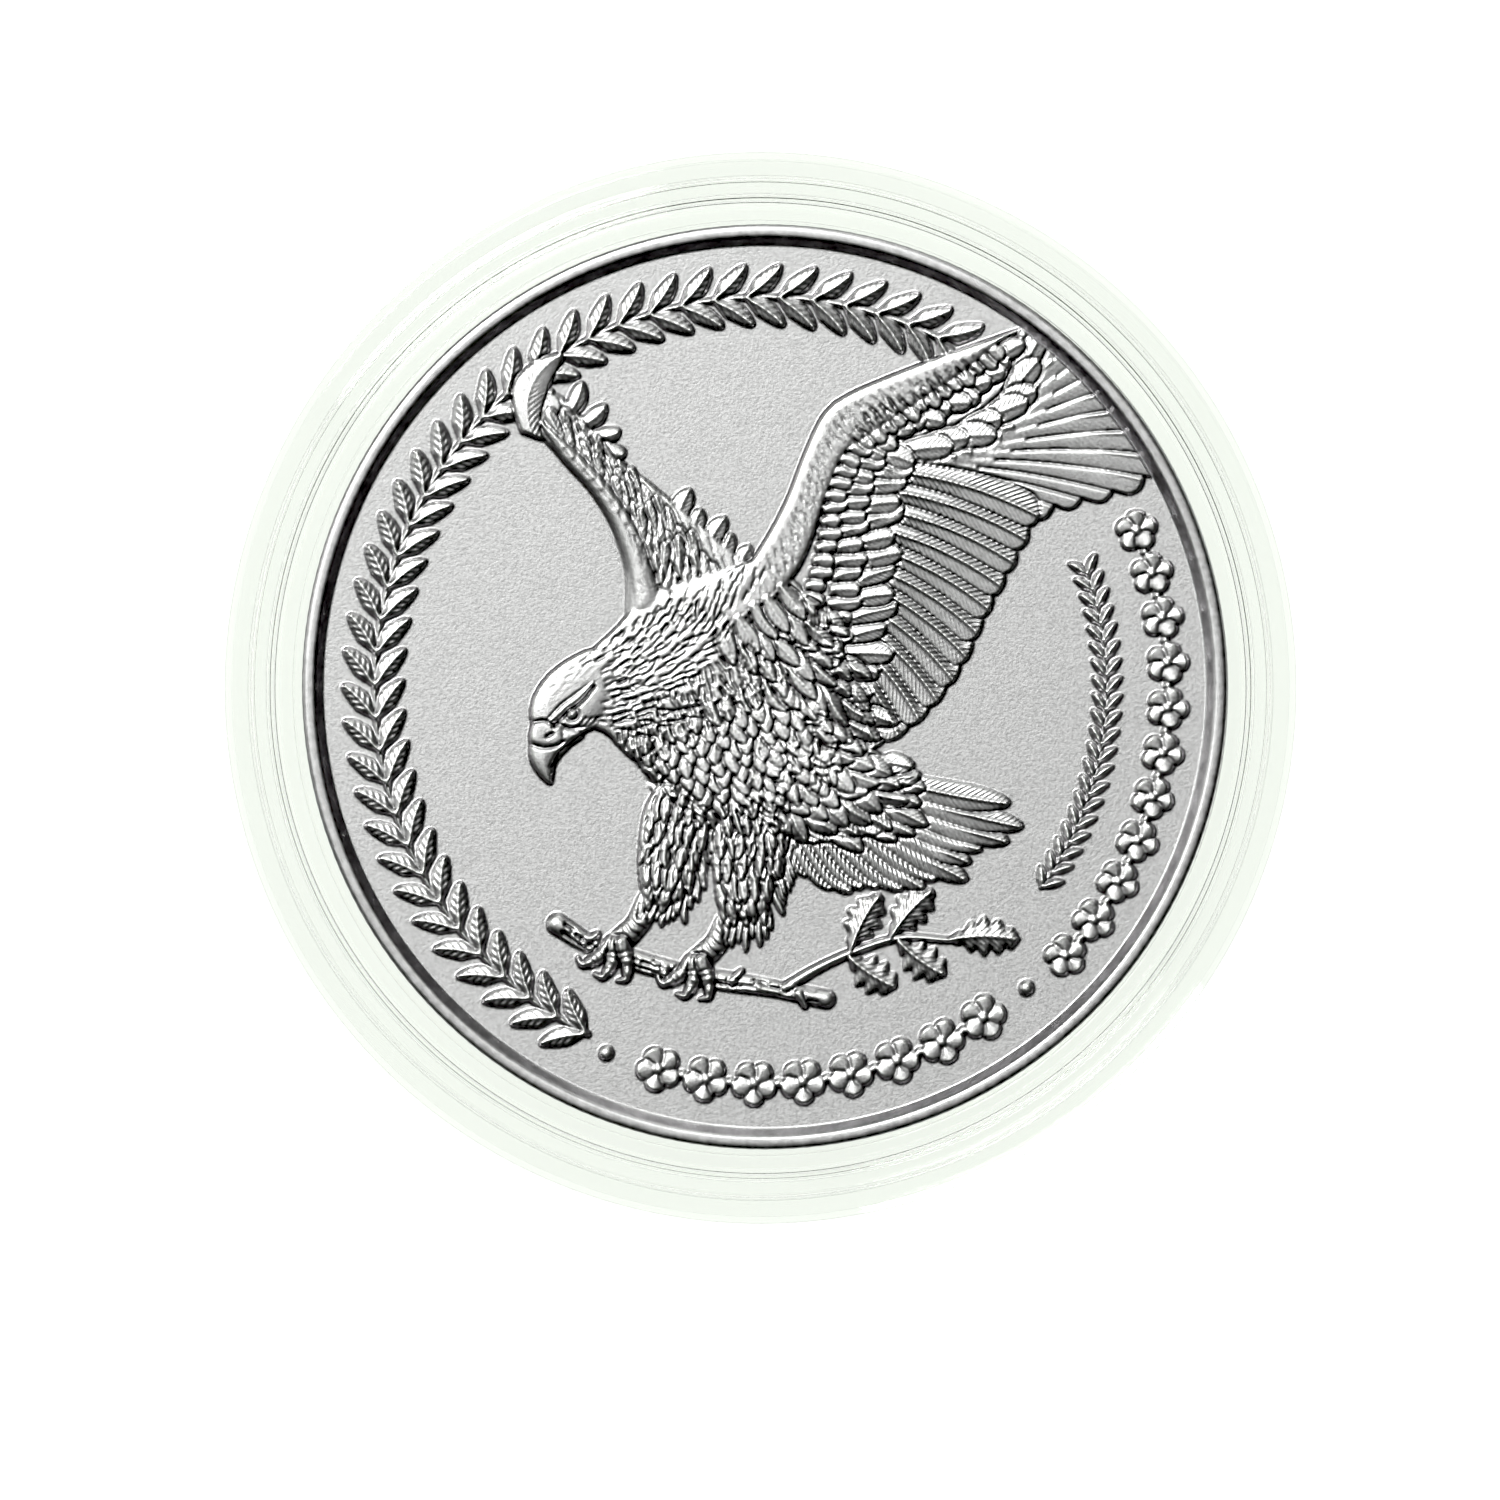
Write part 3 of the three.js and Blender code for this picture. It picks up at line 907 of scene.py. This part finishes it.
# A near-black painted into the grooves as shade, and a bright silver painted on the high lines as highlight.
PAINTED_GROOVE_SHADE = (0.02, 0.02, 0.02)
PAINTED_RIDGE_HIGHLIGHT = (0.95, 0.93, 0.945)


def node_material(name):
    """An empty material, its nodes and links, and the socket that its shader goes to."""
    material = bpy.data.materials.new(name)
    material.use_nodes = True
    nodes = material.node_tree.nodes
    nodes.clear()
    output = nodes.new("ShaderNodeOutputMaterial")
    return material, nodes, material.node_tree.links, output.inputs["Surface"]


def fine_noise(nodes, links, scale):
    """Noise in the piece's own coordinates."""
    place = nodes.new("ShaderNodeTexCoord")
    noise = nodes.new("ShaderNodeTexNoise")
    noise.inputs["Scale"].default_value = scale
    noise.inputs["Detail"].default_value = 3
    links.new(place.outputs["Object"], noise.inputs["Vector"])
    return noise


def ranged(nodes, links, value, source, target=(0, 1)):
    """A value that goes from one range to another, held at its ends."""
    node = nodes.new("ShaderNodeMapRange")
    for name, limit in zip(("From Min", "From Max", "To Min", "To Max"), (*source, *target)):
        node.inputs[name].default_value = limit
    links.new(value, node.inputs["Value"])
    return node.outputs["Result"]


def colour_mix(nodes, links, factor, first, second):
    """Goes from one colour to another; the first may come from a node."""
    node = nodes.new("ShaderNodeMix")
    node.data_type = "RGBA"
    links.new(factor, node.inputs["Factor"])
    if isinstance(first, tuple):
        node.inputs["A"].default_value = (*first, 1)
    else:
        links.new(first, node.inputs["A"])
    node.inputs["B"].default_value = (*second, 1)
    return node.outputs["Result"]


def bumped(nodes, links, height, shader, strength, distance):
    """Lets a value push a shader's surface up and down by a distance in metres."""
    bump = nodes.new("ShaderNodeBump")
    bump.inputs["Strength"].default_value = strength
    bump.inputs["Distance"].default_value = distance
    links.new(height, bump.inputs["Height"])
    links.new(bump.outputs["Normal"], shader.inputs["Normal"])


def by_ray(nodes, links, default, *others):
    """Mixes shaders by the kind of ray that sees them: each (kind, shader) overrules those before it."""
    path = nodes.new("ShaderNodeLightPath")
    last = default
    for kind, seen in others:
        mix = nodes.new("ShaderNodeMixShader")
        links.new(path.outputs[kind], mix.inputs["Fac"])
        links.new(last, mix.inputs[1])
        links.new(seen, mix.inputs[2])
        last = mix.outputs["Shader"]
    return last


def clear_plastic():
    """Clear acrylic with a faint green cast that is a little uneven, and slight ripples from moulding.
    Only sharp rays are bent by it: the lamp lights the coin, and the coin is lit, straight through it."""
    material, nodes, links, surface = node_material("clear_acrylic")
    plastic = nodes.new("ShaderNodeBsdfPrincipled")
    plastic.inputs["Roughness"].default_value = 0
    plastic.inputs["Transmission Weight"].default_value = 1
    plastic.inputs["IOR"].default_value = 1.49
    flow = fine_noise(nodes, links, 160).outputs["Fac"]
    pale, deep = (tuple(c + change for c in PLASTIC_TINT) for change in (TINT_CHANGE, -TINT_CHANGE))
    links.new(colour_mix(nodes, links, flow, deep, pale), plastic.inputs["Base Color"])
    bumped(nodes, links, flow, plastic, 0.05, 0.0001)
    shade = nodes.new("ShaderNodeBsdfTransparent")
    shade.inputs["Color"].default_value = (*PLASTIC_SHADE, 1)
    bent = plastic.outputs["BSDF"]
    straight = shade.outputs["BSDF"]
    look = by_ray(nodes, links, bent, ("Is Glossy Ray", straight), ("Is Singular Ray", bent),
                  ("Is Diffuse Ray", straight), ("Is Shadow Ray", straight))
    links.new(look, surface)
    return material


def silver(name, roughness, grain, strength):
    """Silver with a fine blasted grain in its colour, bump and roughness, with painted shade that darkens its
    grooves and a painted highlight that brightens its high lines."""
    material, nodes, links, surface = node_material(name)
    metal = nodes.new("ShaderNodeBsdfPrincipled")
    metal.inputs["Metallic"].default_value = 1
    noise = fine_noise(nodes, links, grain)
    noise.inputs["Roughness"].default_value = 0.7
    fine = noise.outputs["Fac"]
    bumped(nodes, links, fine, metal, strength, 0.00003)
    spread = ranged(nodes, links, fine, (0.3, 0.7), (roughness - 0.05, roughness + 0.05))
    links.new(spread, metal.inputs["Roughness"])
    dull, clean = (tuple(c * (1 + change) for c in SILVER) for change in (-SILVER_CHANGE, SILVER_CHANGE))
    colour = colour_mix(nodes, links, ranged(nodes, links, fine, (0.35, 0.65)), dull, clean)
    painted_shading = nodes.new("ShaderNodeAttribute")
    painted_shading.attribute_name = "painted_shading"
    # Paints shade into the grooves and a highlight onto the high lines.
    for source, other in (((0.5, 1.1), PAINTED_GROOVE_SHADE), ((0.5, 0.1), PAINTED_RIDGE_HIGHLIGHT)):
        share = ranged(nodes, links, painted_shading.outputs["Fac"], source)
        colour = colour_mix(nodes, links, share, colour, other)
    links.new(colour, metal.inputs["Base Color"])
    links.new(metal.outputs["BSDF"], surface)
    return material


def dress_coin(piece):
    """Blasted faces, a brighter struck rim and a reeded edge, told apart by radius."""
    piece.data.materials.append(silver("blasted_silver", 0.4, 8000, 0.25))
    piece.data.materials.append(silver("struck_silver", 0.39, 3000, 0.1))
    count = len(piece.data.polygons)
    centres = np.empty(count * 3)
    piece.data.polygons.foreach_get("center", centres)
    centres = centres.reshape(-1, 3) / MM
    middle = middle_of("coin")
    radius = np.hypot(centres[:, 0] - middle[0], centres[:, 1] - middle[1])
    piece.data.polygons.foreach_set("material_index", (radius > STRUCK_RADIUS).astype(np.int32))


def middle_of(node):
    """The middle of a CAD node's box, in millimetres."""
    low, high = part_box(node)
    return [(low[i] + high[i]) / 2 / MM for i in range(3)]


# --- stage

# In metres. The table lies a hair below the capsule's underside, so that the two never coincide.
TABLE_REACH = 6.0
TABLE_HEIGHT = -0.00004
TABLE_GLOW = 1.09
TABLE_ON_METAL = 0.5
ROOM_ON_METAL = 0.015
BLACK_LEVEL = 0.043

# In millimetres: the picture is as wide as VIEW_WIDTH at FRAMED_HEIGHT over the table.
LENS = 420
SENSOR = 36
VIEW_WIDTH = 65.8
FRAMED_HEIGHT = 4.3
AIM = (-0.46, -2.72)


def floor():
    """A white light table. It glows in full for the camera, straight or through the plastic, and about
    half as much for the metal."""
    material, nodes, links, surface = node_material("light_table")
    glowing = nodes.new("ShaderNodeBsdfPrincipled")
    glowing.inputs["Base Color"].default_value = (0.08, 0.08, 0.08, 1)
    glowing.inputs["Roughness"].default_value = 0.9
    glowing.inputs["Specular IOR Level"].default_value = 0
    glowing.inputs["Emission Color"].default_value = (1, 1, 1, 1)
    glowing.inputs["Emission Strength"].default_value = TABLE_GLOW
    dim = nodes.new("ShaderNodeEmission")
    dim.inputs["Strength"].default_value = TABLE_ON_METAL
    bright = glowing.outputs["BSDF"]
    look = by_ray(nodes, links, dim.outputs["Emission"], ("Is Camera Ray", bright),
                  ("Is Singular Ray", bright))
    links.new(look, surface)
    corners = np.array([(-1, -1, 0), (1, -1, 0), (1, 1, 0), (-1, 1, 0)]) * TABLE_REACH
    plane = mesh_from("floor", corners + (0, 0, TABLE_HEIGHT), [(0, 1, 2, 3)])
    plane.data.materials.append(material)


def world():
    """A white room, with a dark ceiling for rays that the plastic bends or mirrors. The metal hardly
    sees any of it, which keeps its blacks deep."""
    sky = bpy.data.worlds.new("studio")
    sky.use_nodes = True
    nodes, links = sky.node_tree.nodes, sky.node_tree.links
    nodes.clear()
    output = nodes.new("ShaderNodeOutputWorld")
    white, dim, room = (nodes.new("ShaderNodeBackground") for _ in range(3))
    for background in (white, dim, room):
        background.inputs["Color"].default_value = (1, 1, 1, 1)
    dim.inputs["Strength"].default_value = ROOM_ON_METAL
    place = nodes.new("ShaderNodeTexCoord")
    split = nodes.new("ShaderNodeSeparateXYZ")
    links.new(place.outputs["Generated"], split.inputs["Vector"])
    ceiling = ranged(nodes, links, split.outputs["Z"], (0.8, 0.95), (1, 0.03))
    links.new(ceiling, room.inputs["Strength"])
    look = by_ray(nodes, links, dim.outputs["Background"], ("Is Camera Ray", white.outputs["Background"]),
                  ("Is Singular Ray", room.outputs["Background"]))
    links.new(look, output.inputs["Surface"])
    bpy.context.scene.world = sky


def sun(name, azimuth, zenith, strength, spread):
    """A broad soft light far away, from a compass angle counted from +X and an angle down from overhead."""
    lamp = bpy.data.lights.new(name, "SUN")
    lamp.energy = strength
    lamp.angle = math.radians(spread)
    light = placed(name, lamp)
    light.rotation_euler = (0, math.radians(zenith), math.radians(azimuth))
    light.visible_camera = False


def camera():
    """Straight above a spot a little below and left of the capsule's middle."""
    data = bpy.data.cameras.new("camera")
    data.lens = LENS
    data.sensor_width = SENSOR
    data.clip_start = 0.01
    data.clip_end = 20
    eye = placed("camera", data)
    eye.location = np.array([*AIM, FRAMED_HEIGHT + VIEW_WIDTH / SENSOR * LENS]) * MM
    bpy.context.scene.camera = eye


camera()
world()
sun("key", azimuth=123, zenith=24, strength=2.08, spread=18)
sun("edge_north", azimuth=78, zenith=62, strength=0.42, spread=34)
sun("edge_west", azimuth=170, zenith=62, strength=0.36, spread=34)
sun("low_fill", azimuth=-45, zenith=76, strength=0.014, spread=40)
floor()
grade = bpy.context.scene.view_settings
grade.view_transform = "Standard"
grade.use_curve_mapping = True
grade.curve_mapping.black_level = [BLACK_LEVEL] * 3

acrylic = clear_plastic()
for piece, body_name, node in ((base_shell(), "base", "base_shell"), (lid_shell(), "lid", "lid_shell")):
    piece.data.materials.append(acrylic)
    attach(piece, body_name)
    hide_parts(node)

coin_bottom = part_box("coin")[0][2] / MM + COIN_LIFT
coin = coin_mesh(front_face(), back_face(), middle_of("coin"), coin_bottom)
dress_coin(coin)
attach(coin, "coin")
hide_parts("coin")
